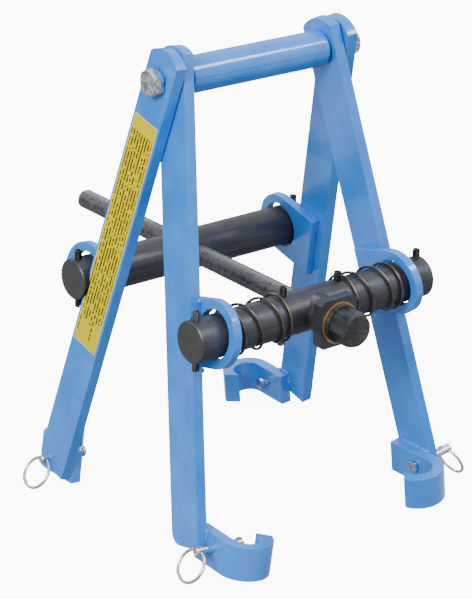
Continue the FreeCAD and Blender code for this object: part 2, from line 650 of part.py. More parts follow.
export(make_everything())
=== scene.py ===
"""Looks of a hinged coil spring compressor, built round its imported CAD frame.  Lengths are in metres."""

import json
import logging
import math
import random
from dataclasses import dataclass, field
from enum import Enum
from typing import Callable, Optional, Sequence, Union

import bmesh
import bpy
from mathutils import Matrix, Vector


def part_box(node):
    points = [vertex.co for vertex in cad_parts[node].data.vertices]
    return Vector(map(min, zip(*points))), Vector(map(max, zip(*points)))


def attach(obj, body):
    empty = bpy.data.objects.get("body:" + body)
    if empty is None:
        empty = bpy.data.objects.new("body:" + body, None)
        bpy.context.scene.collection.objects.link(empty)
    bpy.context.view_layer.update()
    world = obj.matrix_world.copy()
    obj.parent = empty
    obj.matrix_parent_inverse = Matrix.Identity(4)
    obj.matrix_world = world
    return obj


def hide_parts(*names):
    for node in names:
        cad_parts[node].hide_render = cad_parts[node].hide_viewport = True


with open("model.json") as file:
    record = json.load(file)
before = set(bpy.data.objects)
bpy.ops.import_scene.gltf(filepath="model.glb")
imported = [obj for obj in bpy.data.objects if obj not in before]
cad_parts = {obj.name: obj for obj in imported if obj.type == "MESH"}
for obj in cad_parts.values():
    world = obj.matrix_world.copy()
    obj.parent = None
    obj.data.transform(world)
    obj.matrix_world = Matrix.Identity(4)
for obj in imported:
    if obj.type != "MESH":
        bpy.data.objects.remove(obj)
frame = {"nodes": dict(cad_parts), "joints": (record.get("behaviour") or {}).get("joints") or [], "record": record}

MM = 0.001
LOG = logging.getLogger("spring_compressor")


# ---------------------------------------------------------------- shader graph


class Wire:
    """One output of a shader node, which can be used in sums."""

    def __init__(self, graph: "Graph", socket: bpy.types.NodeSocket) -> None:
        """Keeps the socket and the graph that new Math nodes go into."""
        self.graph = graph
        self.socket = socket

    def _math(self, operation: str, first: "Value", second: "Value") -> "Wire":
        """A Math node on two values."""
        return self.graph.add("ShaderNodeMath", {"operation": operation}, {0: first, 1: second})

    def __add__(self, other: "Value") -> "Wire":
        """Sum."""
        return self._math("ADD", self, other)

    def __radd__(self, other: "Value") -> "Wire":
        """Sum, reflected."""
        return self._math("ADD", other, self)

    def __sub__(self, other: "Value") -> "Wire":
        """Difference."""
        return self._math("SUBTRACT", self, other)

    def __rsub__(self, other: "Value") -> "Wire":
        """Difference, reflected."""
        return self._math("SUBTRACT", other, self)

    def __mul__(self, other: "Value") -> "Wire":
        """Product."""
        return self._math("MULTIPLY", self, other)

    def __rmul__(self, other: "Value") -> "Wire":
        """Product, reflected."""
        return self._math("MULTIPLY", other, self)

    def __truediv__(self, other: "Value") -> "Wire":
        """Quotient."""
        return self._math("DIVIDE", self, other)

    def __rtruediv__(self, other: "Value") -> "Wire":
        """Quotient, reflected."""
        return self._math("DIVIDE", other, self)

    def __mod__(self, other: "Value") -> "Wire":
        """Remainder that stays positive."""
        return self._math("FLOORED_MODULO", self, other)

    def __gt__(self, other: "Value") -> "Wire":
        """1 where this is greater, else 0."""
        return self._math("GREATER_THAN", self, other)

    def __lt__(self, other: "Value") -> "Wire":
        """1 where this is less, else 0."""
        return self._math("LESS_THAN", self, other)


Value = Union[Wire, float]
Colour = tuple[float, float, float]


class Graph:
    """The node tree of one material, with a Principled shader on its output."""

    def __init__(self, name: str) -> None:
        """Starts an empty material.

        Args:
            name: The material's name.
        """
        self.material = bpy.data.materials.new(name)
        self.material.use_nodes = True
        self.tree = self.material.node_tree
        self.tree.nodes.clear()
        output = self.tree.nodes.new("ShaderNodeOutputMaterial")
        self.shader = self.tree.nodes.new("ShaderNodeBsdfPrincipled")
        self.tree.links.new(self.shader.outputs["BSDF"], output.inputs["Surface"])

    def add(
        self,
        kind: str,
        settings: Optional[dict[str, object]] = None,
        inputs: Optional[dict[Union[int, str], object]] = None,
        output: Union[int, str] = 0,
    ) -> Wire:
        """Adds one node.

        Args:
            kind: The node's type.
            settings: Its settings, set first; "stops" fills a colour ramp.
            inputs: Values or wires for its sockets, by name or number.
            output: The output that is wanted.

        Returns:
            The wanted output.
        """
        node = self.tree.nodes.new(kind)
        for name, value in (settings or {}).items():
            if name == "stops":
                self._fill_ramp(node, value)
            else:
                setattr(node, name, value)
        for name, value in (inputs or {}).items():
            self.feed(node.inputs[name], value)
        return Wire(self, node.outputs[output])

    @staticmethod
    def _fill_ramp(node: bpy.types.Node, stops: Sequence[tuple[float, Colour]]) -> None:
        """Gives a colour ramp its stops."""
        elements = node.color_ramp.elements
        while len(elements) < len(stops):
            elements.new(0.5)
        for element, (place, colour) in zip(elements, stops):
            element.position = place
            element.color = (*colour, 1.0)

    def feed(self, socket: bpy.types.NodeSocket, value: object) -> None:
        """Links or sets one socket."""
        if isinstance(value, Wire):
            self.tree.links.new(value.socket, socket)
        elif isinstance(value, tuple) and socket.type == "RGBA":
            socket.default_value = (*value, 1.0)
        else:
            socket.default_value = value

    def set(self, **values: object) -> None:
        """Feeds sockets of the shader; an underscore in a name stands for a space."""
        for name, value in values.items():
            self.feed(self.shader.inputs[name.replace("_", " ")], value)

    def place(self, scale: Colour = (1.0, 1.0, 1.0), turn: Colour = (0.0, 0.0, 0.0)) -> Wire:
        """Object coordinates, stretched and turned."""
        spot = self.add("ShaderNodeTexCoord", output="Object")
        return self.add("ShaderNodeMapping", None, {"Vector": spot, "Rotation": turn, "Scale": scale})

    def uv(self) -> Wire:
        """The piece's own UV map."""
        return self.add("ShaderNodeTexCoord", output="UV")

    def parts(self, vector: Wire) -> tuple[Wire, Wire, Wire]:
        """The three components of a vector."""
        split = self.add("ShaderNodeSeparateXYZ", None, {"Vector": vector})
        outputs = split.socket.node.outputs
        return Wire(self, outputs[0]), Wire(self, outputs[1]), Wire(self, outputs[2])

    def noise(self, vector: Wire, scale: float, detail: float = 2.0, roughness: float = 0.5) -> Wire:
        """Smooth noise from about 0.25 to 0.75."""
        values = {"Vector": vector, "Scale": scale, "Detail": detail, "Roughness": roughness}
        return self.add("ShaderNodeTexNoise", None, values)

    def spread(self, value: Wire, low: float, high: float, to_low: float, to_high: float) -> Wire:
        """Maps a value between two ranges, with its ends held."""
        values = {"Value": value, "From Min": low, "From Max": high, "To Min": to_low, "To Max": to_high}
        return self.add("ShaderNodeMapRange", {"clamp": True}, values)

    def mix(self, amount: Value, first: Union[Wire, Colour], second: Union[Wire, Colour]) -> Wire:
        """Mixes two colours."""
        return self.add("ShaderNodeMix", {"data_type": "RGBA"}, {0: amount, 6: first, 7: second}, output=2)

    def bump(self, height: Wire, distance: float, strength: float = 1.0) -> Wire:
        """A Bump node on a height from 0 to 1 times a distance."""
        return self.add("ShaderNodeBump", None, {"Height": height, "Distance": distance, "Strength": strength},
                        output="Normal")


# -------------------------------------------------------------------- finishes


@dataclass(frozen=True)
class Enamel:
    """Gloss enamel with a slight orange peel."""

    name: str = "blue_enamel"
    light: Colour = (0.030, 0.245, 0.770)
    deep: Colour = (0.014, 0.198, 0.690)
    peel_scale: float = 520.0
    peel_height: float = 0.00005

    def build(self) -> bpy.types.Material:
        """Makes the material."""
        graph = Graph(self.name)
        spot = graph.place()
        clouds = graph.spread(graph.noise(spot, 26.0, 3.0), 0.35, 0.65, 0.0, 1.0)
        peel = graph.noise(spot, self.peel_scale, 2.0)
        sags = graph.noise(spot, 85.0, 1.0)
        specks = graph.spread(graph.noise(spot, 1500.0, 1.0), 0.70, 0.76, 0.0, 1.0)
        colour = graph.mix(clouds, self.deep, self.light)
        graph.set(
            Base_Color=graph.mix(specks * 0.3, colour, (0.012, 0.120, 0.450)),
            Roughness=graph.spread(graph.noise(spot, 60.0, 4.0), 0.3, 0.7, 0.24, 0.36),
            Normal=graph.bump(peel + sags * 2.0, self.peel_height),
            Specular_IOR_Level=0.4,
            Coat_Weight=0.6,
            Coat_Roughness=0.07,
        )
        return graph.material


@dataclass(frozen=True)
class BlackOxide:
    """Black oxide on steel, with draw lines along one axis."""

    name: str = "black_oxide"
    along: Colour = (14.0, 520.0, 520.0)
    dark: Colour = (0.050, 0.051, 0.060)
    worn: Colour = (0.080, 0.081, 0.090)
    metal: float = 0.6
    rough: tuple[float, float] = (0.36, 0.48)

    def build(self) -> bpy.types.Material:
        """Makes the material."""
        graph = Graph(self.name)
        spot = graph.place()
        lines = graph.noise(graph.place(self.along), 1.0, 4.0, 0.6)
        clouds = graph.noise(spot, 45.0, 4.0, 0.6)
        rubbed = graph.spread(lines * 0.6 + clouds * 0.6, 0.52, 0.80, 0.0, 1.0)
        graph.set(
            Base_Color=graph.mix(rubbed, self.dark, self.worn),
            Metallic=self.metal,
            Roughness=graph.spread(clouds, 0.3, 0.7, *self.rough),
            Normal=graph.bump(lines, 0.00003),
        )
        return graph.material


@dataclass(frozen=True)
class ThreadOxide:
    """Black oxide on a thread along Y; the grooves are painted darker as shade and the crests painted bright as a
    highlight, broken up by stains.
    """

    name: str = "thread_oxide"
    height: float = 0.240
    root: float = 9.7 * MM
    crest: float = 11.0 * MM
    # dark: black oxide deepened into painted shade for the grooves; bright: the painted highlight colour for the
    # crests.
    dark: Colour = (0.004, 0.004, 0.005)
    bright: Colour = (0.210, 0.210, 0.220)

    def build(self) -> bpy.types.Material:
        """Makes the material."""
        graph = Graph(self.name)
        x, _, z = graph.parts(graph.place())
        up = z - self.height
        radius = graph.add("ShaderNodeMath", {"operation": "SQRT"}, {0: x * x + up * up})
        stains = graph.noise(graph.place(), 240.0, 3.0)
        # Painted light: the colour runs from painted shade at the root radius to a painted highlight at the crest
        # radius, weakened where the stains are.
        crest_highlight = graph.spread(radius, self.root, self.crest, 0.0, 1.0)
        crest = crest_highlight * graph.spread(stains, 0.3, 0.6, 0.5, 1.0)
        graph.set(
            Base_Color=graph.mix(crest, self.dark, self.bright),
            Metallic=0.6,
            Roughness=graph.spread(stains, 0.3, 0.7, 0.3, 0.45),
            Normal=graph.bump(stains, 0.00004),
        )
        return graph.material


@dataclass(frozen=True)
class SawnEnd:
    """Sawn and blackened end of a bar: fine parallel cuts on a dark grey."""

    name: str = "sawn_end"
    dark: Colour = (0.036, 0.036, 0.034)
    light: Colour = (0.066, 0.066, 0.063)

    def build(self) -> bpy.types.Material:
        """Makes the material."""
        graph = Graph(self.name)
        cuts = graph.noise(graph.place((200.0, 60.0, 1300.0), (0.35, 0.0, 0.0)), 1.0, 3.0)
        clouds = graph.noise(graph.place(), 90.0, 4.0)
        graph.set(
            Base_Color=graph.mix(
                graph.spread(cuts * 0.5 + clouds * 0.6, 0.4, 0.75, 0.0, 1.0), self.dark, self.light),
            Metallic=0.35,
            Roughness=graph.spread(clouds, 0.3, 0.7, 0.42, 0.6),
            Normal=graph.bump(cuts, 0.00008),
        )
        return graph.material


@dataclass(frozen=True)
class Plate:
    """Bright plating on steel, with faint stains and rubbing marks."""

    name: str = "bright_zinc"
    bright: Colour = (0.86, 0.87, 0.87)
    dull: Colour = (0.30, 0.30, 0.29)
    rough: tuple[float, float] = (0.12, 0.28)

    def build(self) -> bpy.types.Material:
        """Makes the material."""
        graph = Graph(self.name)
        spot = graph.place()
        stains = graph.noise(spot, 160.0, 4.0, 0.6)
        scuffs = graph.noise(graph.place((300.0, 900.0, 300.0)), 1.0, 3.0)
        graph.set(
            Base_Color=graph.mix(graph.spread(stains, 0.42, 0.68, 0.0, 1.0), self.bright, self.dull),
            Metallic=1.0,
            Roughness=graph.spread(stains * 0.5 + scuffs * 0.5, 0.35, 0.65, *self.rough),
            Normal=graph.bump(scuffs + stains * 3.0, 0.00008),
        )
        return graph.material


@dataclass(frozen=True)
class SpringWire:
    """Oil-tempered wire: dark scale, a little brighter where it is rubbed."""

    name: str = "tempered_wire"
    scale: Colour = (0.105, 0.092, 0.076)
    rubbed: Colour = (0.165, 0.145, 0.115)

    def build(self) -> bpy.types.Material:
        """Makes the material."""
        graph = Graph(self.name)
        spot = graph.place()
        patches = graph.noise(spot, 55.0, 3.0)
        graph.set(
            Base_Color=graph.mix(graph.spread(patches, 0.44, 0.66, 0.0, 1.0), self.scale, self.rubbed),
            Metallic=0.9,
            Roughness=graph.spread(patches, 0.3, 0.7, 0.3, 0.38),
            Normal=graph.bump(patches, 0.00002),
        )
        return graph.material


@dataclass(frozen=True)
class Bronze:
    """Oiled sintered bronze."""

    name: str = "oiled_bronze"
    bright: Colour = (0.62, 0.34, 0.17)
    dull: Colour = (0.20, 0.11, 0.06)

    def build(self) -> bpy.types.Material:
        """Makes the material."""
        graph = Graph(self.name)
        spot = graph.place()
        pores = graph.noise(spot, 900.0, 2.0)
        stains = graph.noise(spot, 120.0, 3.0)
        graph.set(
            Base_Color=graph.mix(
                graph.spread(pores * 0.5 + stains * 0.6, 0.45, 0.8, 0.0, 1.0), self.bright, self.dull),
            Metallic=0.9,
            Roughness=graph.spread(stains, 0.3, 0.7, 0.3, 0.45),
            Normal=graph.bump(pores, 0.00004),
        )
        return graph.material


@dataclass(frozen=True)
class LabelFilm:
    """Yellow film with a pale border and rows of plain dashes, placed by the label's own UV map in metres; it also
    glows faintly in its own colours, a painted brightening.
    """

    name: str = "printed_film"
    yellow: Colour = (0.62, 0.50, 0.0)
    border: Colour = (0.75, 0.70, 0.30)
    ink: Colour = (0.020, 0.015, 0.005)
    # glow: strength of the film's painted glow, light that it gives off in its own colours.
    glow: float = 0.05
    width: float = 0.039
    length: float = 0.270
    row: float = 0.0043
    margin: float = 0.0020
    rim: float = 0.0006
    heading: float = 0.016

    def build(self) -> bpy.types.Material:
        """Makes the material."""
        graph = Graph(self.name)
        across, along, _ = graph.parts(graph.uv())
        row = graph.add("ShaderNodeMath", {"operation": "FLOOR"}, {0: across / self.row})
        in_row = (across / self.row) % 1.0
        seed = graph.add("ShaderNodeCombineXYZ", None, {"X": along * 240.0, "Y": row * 7.3, "Z": 0.0})
        dash = graph.noise(seed, 1.0, 1.0) > 0.44
        last = graph.add("ShaderNodeTexWhiteNoise", {"noise_dimensions": "1D"}, {"W": row + 0.5},
                         output="Value")
        inked = dash * (in_row > 0.28) * (in_row < 0.74)
        inked = inked * (across > self.margin) * (across < self.width - self.margin)
        inked = inked * (along > self.heading) * (along < self.length - 0.007 - last * 0.030)
        inner = (across > self.rim) * (across < self.width - self.rim)
        inner = inner * (along > self.rim) * (along < self.length - self.rim)
        film = graph.mix(inner, self.border, self.yellow)
        print_on_film = graph.mix(inked * 0.95, film, self.ink)
        sheen = graph.noise(graph.place(), 70.0, 3.0)
        graph.set(
            Base_Color=print_on_film,
            Roughness=graph.spread(sheen, 0.3, 0.7, 0.34, 0.46),
            Specular_IOR_Level=0.08,
            # Painted light: the film glows faintly in its own colours, which brightens it beyond what the lamps
            # give.
            Emission_Color=print_on_film,
            Emission_Strength=self.glow,
            Normal=graph.bump(sheen, 0.0001),
        )
        return graph.material


@dataclass(frozen=True)
class StudioFloor:
    """Pale matte paper, lit from behind."""

    name: str = "pale_floor"
    glow: float = 9.0

    def build(self) -> bpy.types.Material:
        """Makes the material."""
        graph = Graph(self.name)
        fibres = graph.noise(graph.place(), 40.0, 3.0)
        graph.set(
            Base_Color=graph.mix(fibres, (0.92, 0.92, 0.92), (0.95, 0.95, 0.95)),
            Roughness=0.75,
            Emission_Color=(1.0, 1.0, 1.0),
            Emission_Strength=self.glow,
        )
        return graph.material


class Finish(Enum):
    """The finishes of the tool's pieces."""

    ENAMEL = Enamel()
    BAR = BlackOxide()
    SCREW = ThreadOxide()
    HEAD = BlackOxide("head_oxide", (300.0, 50.0, 300.0), (0.026, 0.027, 0.030), (0.085, 0.082, 0.080), 0.5,
                      (0.36, 0.55))
    SAWN = SawnEnd()
    ZINC = Plate()
    RING = Plate("ring_plate", (0.88, 0.88, 0.86), (0.60, 0.59, 0.55), (0.12, 0.22))
    ROLL_PIN = BlackOxide("roll_pin", (200.0, 200.0, 30.0), (0.030, 0.030, 0.032), (0.24, 0.22, 0.21), 0.8,
                          (0.25, 0.42))
    WIRE = SpringWire()
    BRONZE = Bronze()
    LABEL = LabelFilm()
    FLOOR = StudioFloor()

    def material(self) -> bpy.types.Material:
        """The finish's material, made the first time that it is asked for."""
        found = bpy.data.materials.get(self.value.name)
        return found or self.value.build()


# ----------------------------------------------------------------- mesh helpers


Face = bmesh.types.BMFace


class Shape:
    """A mesh under construction, which becomes one piece of the tool."""

    def __init__(self, source: Optional[str] = None) -> None:
        """Starts empty, or from a copy of a CAD node with its doubles merged and its flat faces whole.

        Args:
            source: The CAD node to copy.
        """
        self.mesh = bmesh.new()
        if source:
            self.mesh.from_mesh(frame["nodes"][source].data)
            bmesh.ops.remove_doubles(self.mesh, verts=self.mesh.verts, dist=2e-6)
            bmesh.ops.dissolve_limit(
                self.mesh, angle_limit=math.radians(0.4), verts=self.mesh.verts, edges=self.mesh.edges,
                delimit={"NORMAL"},
            )

    def ease(self, width: float, segments: int = 2, angle: float = 32.0,
             wanted: Optional[Callable[[bmesh.types.BMEdge], bool]] = None) -> "Shape":
        """Rounds the sharp edges.

        Args:
            width: The rounding's size.
            segments: Its steps.
            angle: Edges that turn by more degrees than this are sharp.
            wanted: Picks among the sharp edges.

        Returns:
            The shape itself.
        """
        limit = math.radians(angle)
        sharp = [e for e in self.mesh.edges if e.is_manifold and e.calc_face_angle(0.0) > limit]
        if wanted:
            sharp = [e for e in sharp if wanted(e)]
        bmesh.ops.bevel(
            self.mesh, geom=sharp, offset=width, offset_type="OFFSET", segments=segments, profile=0.5,
            affect="EDGES", clamp_overlap=True, material=-1,
        )
        return self

    def keep_side(self, point: Vector, normal: Vector) -> "Shape":
        """Cuts off what lies on the normal's side of a plane and closes the cut.

        Args:
            point: A point on the plane.
            normal: Points to the side that goes.

        Returns:
            The shape itself.
        """
        geometry = [*self.mesh.verts, *self.mesh.edges, *self.mesh.faces]
        bmesh.ops.bisect_plane(
            self.mesh, geom=geometry, dist=1e-7, plane_co=point, plane_no=normal, clear_outer=True)
        rim = [e for e in self.mesh.edges if e.is_boundary]
        if rim:
            bmesh.ops.holes_fill(self.mesh, edges=rim, sides=0)
        return self

    def turned_chamfer(self, centre: Vector, axis: Vector, radius: float, slope: float,
                       steps: int = 30) -> "Shape":
        """Turns the corners of a prism's end down to a cone.

        Args:
            centre: The middle of the end face.
            axis: The end face's normal.
            radius: The radius that stays flat.
            slope: Degrees between the cone and the end face.
            steps: Flats round the cone.

        Returns:
            The shape itself.
        """
        side = axis.orthogonal().normalized()
        tilt = math.radians(slope)
        for step in range(steps):
            out = Matrix.Rotation(math.tau * step / steps, 3, axis) @ side
            self.keep_side(centre + out * radius, axis * math.cos(tilt) + out * math.sin(tilt))
        return self

    def drop(self, place: Vector, size: Vector, turn: Matrix) -> "Shape":
        """Adds one rounded drop of weld metal."""
        matrix = Matrix.Translation(place) @ turn @ Matrix.Diagonal(size).to_4x4()
        bmesh.ops.create_uvsphere(self.mesh, u_segments=12, v_segments=8, radius=1.0, matrix=matrix)
        return self

    def coil(self, centre: Vector, axis: Vector, radius: float, section: tuple[float, float],
             runs: Sequence[tuple[float, float]], first: Vector, steps: int = 40, sides: int = 10) -> "Shape":
        """Adds a wire wound round an axis.

        Args:
            centre: The axis's point where the wire starts.
            axis: The way that the coil grows.
            radius: From the axis to the middle of the wire.
            section: Half the wire's size across and along the axis.
            runs: For each stretch, its turns and its growth along the axis.
            first: From the axis towards the wire's start.
            steps: Steps for each turn.
            sides: Sides of the wire.

        Returns:
            The shape itself.
        """
        out = first.normalized()
        turn = Matrix((out, axis, out.cross(axis))).transposed().to_4x4()
        scale = Matrix.Diagonal((section[0], section[1], 1.0, 1.0))
        start = Matrix.Translation(centre + out * radius) @ turn @ scale
        made = bmesh.ops.create_circle(self.mesh, cap_ends=True, segments=sides, radius=1.0, matrix=start)
        ring = {f for v in made["verts"] for f in v.link_faces}
        section_geometry = list(ring)
        spot = centre.copy()
        for turns, growth in runs:
            count = max(1, round(steps * turns))
            result = bmesh.ops.spin(
                self.mesh, geom=section_geometry, cent=spot, axis=axis, dvec=axis * growth / count,
                angle=math.tau * turns, steps=count, use_duplicate=False,
            )
            section_geometry = result["geom_last"]
            spot = spot + axis * growth
        return self

    def outward(self) -> "Shape":
        """Merges doubles and turns every face outwards."""
        bmesh.ops.remove_doubles(self.mesh, verts=self.mesh.verts, dist=1e-6)
        bmesh.ops.recalc_face_normals(self.mesh, faces=self.mesh.faces)
        return self

    def piece(self, name: str, finish: Finish, ends: Optional[tuple[Finish, Callable[[Face], bool]]] = None,
              smooth: float = 30.0) -> bpy.types.Object:
        """Ends the construction.

        Args:
            name: The piece's name.
            finish: Its finish.
            ends: A second finish and the test for the faces that take it.
            smooth: Edges that turn by more degrees than this stay sharp.

        Returns:
            The new object, at the origin.
        """
        for face in self.mesh.faces:
            face.smooth = True
            if ends and ends[1](face):
                face.material_index = 1
            else:
                face.material_index = 0
        limit = math.radians(smooth)
        for edge in self.mesh.edges:
            edge.smooth = edge.calc_face_angle(0.0) < limit
        data = bpy.data.meshes.new(name)
        self.mesh.to_mesh(data)
        self.mesh.free()
        data.materials.append(finish.material())
        if ends:
            data.materials.append(ends[0].material())
        made = bpy.data.objects.new(name, data)
        bpy.context.scene.collection.objects.link(made)
        weighted = made.modifiers.new("weighted_normals", "WEIGHTED_NORMAL")
        weighted.keep_sharp = True
        return made


def stand_for(piece: bpy.types.Object, node: str, body: str) -> bpy.types.Object:
    """Lets a piece replace a CAD node and reports it.

    Args:
        piece: The new piece.
        node: The CAD node that it stands for.
        body: The CAD body that carries it.

    Returns:
        The piece.
    """
    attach(piece, body)
    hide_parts(node)
    LOG.info("%s stands for %s: %d faces", piece.name, node, len(piece.data.polygons))
    return piece


def joint(name: str) -> dict:
    """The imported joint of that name."""
    return next(j for j in frame["joints"] if j["name"] == name)


def middle(node: str) -> Vector:
    """The middle of a CAD node's box."""
    low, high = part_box(node)
    return (low + high) / 2


# ------------------------------------------------------------------------- legs


@dataclass
class Leg:
    """One splayed leg: its flat bar, its ring lug, its hook, and the welds that hold them together."""

    name: str
    half_turn: float
    hand: int
    splay: float
    face: float
    reach: float
    overlap: float
    lean: float = 14.1
    width: float = 44.45 * MM
    lug_radius: float = 35.4 * MM
    lug_overlap: float = 34.0 * MM
    hook_height: float = 36.5 * MM
    bend_radius: float = 28.5 * MM
    bead: float = 3.1 * MM

    def matrix(self) -> Matrix:
        """Frame of the leg: on the pivot axis at its inner face, +Z up the leg, +Y outwards."""
        pivot = Vector(joint(f"swing_{self.name}")["pos_m"])
        return (
            Matrix.Translation(pivot)
            @ Matrix.Rotation(math.radians(self.half_turn), 4, "Z")
            @ Matrix.Translation((self.hand * self.face, 0, 0))
            @ Matrix.Rotation(math.radians(self.lean), 4, "X")
            @ Matrix.Rotation(math.radians(-self.hand * self.splay), 4, "Y")
        )

    def hook_matrix(self) -> Matrix:
        """Frame of the hook: on the leg's inner face and outer edge at the hook's top, +Y along its shank."""
        seat = next(m for m in frame["record"]["mounts"] if m["name"] == f"coil_seat_{self.name}")
        up = Vector(seat["axis"]).normalized()
        along = Vector(joint(f"ring_swing_{self.name}")["axis"]).normalized() * -self.hand
        side = along.cross(up)
        turn = Matrix((side, along, up)).transposed()
        corner = Vector((-self.hand * self.bend_radius, self.reach, -self.hook_height / 2))
        return Matrix.Translation(Vector(seat["pos_m"]) - turn @ corner) @ turn.to_4x4()

    def lug_height(self) -> float:
        """The lug's middle in the leg's frame, along +Z."""
        low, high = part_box(f"lug_{self.name}")
        inverse = self.matrix().inverted()
        return (inverse @ ((low + high) / 2)).z

    def bead_along(self, shape: Shape, place: Matrix, start: Vector, end: Vector, seed: int) -> None:
        """Lays a rippled weld bead.

        Args:
            shape: The mesh that takes the bead.
            place: The frame that the two ends are given in.
            start: The bead's start.
            end: The bead's end.
            seed: Fixes the bead's unevenness.
        """
        chance = random.Random(seed)
        line = end - start
        count = max(2, round(line.length / (0.95 * self.bead)))
        for step in range(count + 1):
            spot = start + line * step / count
            size = self.bead * chance.uniform(0.88, 1.14)
            nudge = Vector([chance.uniform(-0.12, 0.12) * self.bead for _ in range(3)])
            lean = Matrix.Rotation(chance.uniform(-0.4, 0.4), 4, "Z")
            shape.drop(place @ (spot + nudge), Vector((size, size, size * 0.92)),
                       place.to_3x3().to_4x4() @ lean)

    def welds(self) -> bpy.types.Object:
        """The beads round the lug's root and round the hook's shank."""
        shape = Shape()
        leg = self.matrix()
        hook = self.hook_matrix()
        middle_z = self.lug_height()
        edge = self.width / 2
        root = edge - self.lug_overlap
        top, bottom = middle_z + self.lug_radius, middle_z - self.lug_radius
        back = -min(self.overlap, self.width - 4 * MM)
        low = -self.hook_height
        seed = sum(map(ord, self.name))
        beads = [
            (leg, (0, root + 6 * MM, top), (0, edge - 8 * MM, top)),
            (leg, (0, edge - 3 * MM, top), (0, edge - 0.5 * MM, top - 1 * MM)),
            (leg, (0, root + 4 * MM, bottom), (0, edge - 3 * MM, bottom)),
            (hook, (0, back + 4 * MM, 0), (0, -3 * MM, 0)),
            (hook, (0, 0, -1 * MM), (0, 0, 0.35 * low)),
            (hook, (0, back + 3 * MM, 0), (0, back + 1 * MM, 0.3 * low)),
        ]
        for step, (place, start, end) in enumerate(beads):
            self.bead_along(shape, place, Vector(start), Vector(end), seed + step)
        return shape.piece(f"welds_{self.name}", Finish.ENAMEL, smooth=80.0)

    def dress(self) -> None:
        """Makes the leg's pieces and puts each on its body."""
        body = f"leg_{self.name}"
        bar = Shape(f"leg_{self.name}").ease(0.9 * MM, 3)
        stand_for(bar.piece(f"flat_bar_{self.name}", Finish.ENAMEL), f"leg_{self.name}", body)
        lug = Shape(f"lug_{self.name}").ease(0.8 * MM, 3)
        stand_for(lug.piece(f"ring_lug_{self.name}", Finish.ENAMEL), f"lug_{self.name}", body)
        hook = Shape(f"hook_{self.name}").ease(1.3 * MM, 3)
        stand_for(hook.piece(f"coil_hook_{self.name}", Finish.ENAMEL), f"hook_{self.name}",
                  body)
        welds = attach(self.welds(), body)
        LOG.info("%s added: %d faces", welds.name, len(welds.data.polygons))


@dataclass
class RetainingPin:
    """A leg's retaining pin, and the double-turn split ring in its tail."""

    leg: Leg
    ring_radius: float = 17.4 * MM
    wire_across: float = 1.6 * MM
    wire_along: float = 1.1 * MM

    def dress(self) -> None:
        """Makes the pin and its ring."""
        name = self.leg.name
        pin = Shape(f"retaining_pin_{name}").ease(0.55 * MM, 3, 40.0)
        stand_for(pin.piece(f"pull_pin_{name}", Finish.ZINC), f"retaining_pin_{name}",
                  f"retaining_pin_{name}")
        swing = joint(f"ring_swing_{name}")
        eye = Vector(swing["pos_m"])
        across = Vector(swing["axis"]).normalized()
        centre = middle(f"split_ring_{name}")
        up = (eye - centre).normalized()
        normal = across.cross(up).normalized()
        start = centre - normal * self.wire_along
        ring = Shape().coil(start, normal, self.ring_radius, (self.wire_across, self.wire_along),
                            [(2.0, 2 * self.wire_along)], -up * 0.8 + across * 0.6, 64, 12).outward()
        stand_for(ring.piece(f"key_ring_{name}", Finish.RING, smooth=60.0), f"split_ring_{name}",
                  f"split_ring_{name}")


@dataclass
class BlankLabel:
    """The plain label on the back left leg, with dashes in place of print."""

    leg: Leg
    top: float = 46.0 * MM
    width: float = 39.0 * MM

    def dress(self) -> None:
        """Copies the label's solid and gives it a UV map in metres, across and along."""
        shape = Shape("blank_label")
        for old in list(shape.mesh.loops.layers.uv):
            shape.mesh.loops.layers.uv.remove(old)
        layer = shape.mesh.loops.layers.uv.new("along_label")
        inverse = self.leg.matrix().inverted()
        for face in shape.mesh.faces:
            for loop in face.loops:
                spot = inverse @ loop.vert.co
                loop[layer].uv = (spot.y + self.width / 2, -self.top - spot.z)
        stand_for(shape.piece("plain_label", Finish.LABEL), "blank_label", "leg_back_left")


# ------------------------------------------------------------------------ pivot


@dataclass
class Pivot:
    """The pivot bolt, its lock nut and the handle sleeve."""

    flats: float = 27.0 * MM
    pitch: float = 2.3 * MM
    bolt_radius: float = 7.94 * MM

    def bolt(self) -> bpy.types.Object:
        """The bolt: a hexagon head turned down to a cone at its corners, and a threaded tail."""
        low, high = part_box("pivot_bolt")
        centre = (low + high) / 2
        end = Vector((low.x, centre.y, centre.z))
        shape = Shape("pivot_bolt")
        shape.keep_side(Vector((high.x - 19 * MM, 0, 0)), Vector((1, 0, 0)))
        shape.turned_chamfer(end, Vector((-1, 0, 0)), self.flats * 0.45, 32.0)
        shape.ease(0.35 * MM, 2, 40.0)
        thread(shape, Vector((high.x - 20 * MM, centre.y, centre.z)), Vector((high.x, centre.y, centre.z)),
               self.bolt_radius, self.pitch, 1.2 * MM)
        return shape.piece("hinge_bolt", Finish.ZINC)

    def nut(self) -> bpy.types.Object:
        """The lock nut: a hexagon turned down to a collar."""
        low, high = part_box("lock_nut")
        centre = (low + high) / 2
        shape = Shape("lock_nut")
        shape.turned_chamfer(Vector((low.x, centre.y, centre.z)), Vector((-1, 0, 0)), self.flats * 0.49, 28.0)
        shape.turned_chamfer(Vector((high.x, centre.y, centre.z)), Vector((1, 0, 0)), self.flats * 0.42, 40.0)
        return shape.ease(0.3 * MM, 2, 40.0).piece("hinge_nut", Finish.ZINC)

    def dress(self) -> None:
        """Makes the three pieces."""
        stand_for(self.bolt(), "pivot_bolt", "pivot")
        stand_for(self.nut(), "lock_nut", "pivot")
        sleeve = Shape("crossbar_sleeve").ease(1.0 * MM, 3)
        stand_for(sleeve.piece("handle_sleeve", Finish.ENAMEL), "crossbar_sleeve", "crossbar")


# ----------------------------------------------------------------- bars and screw


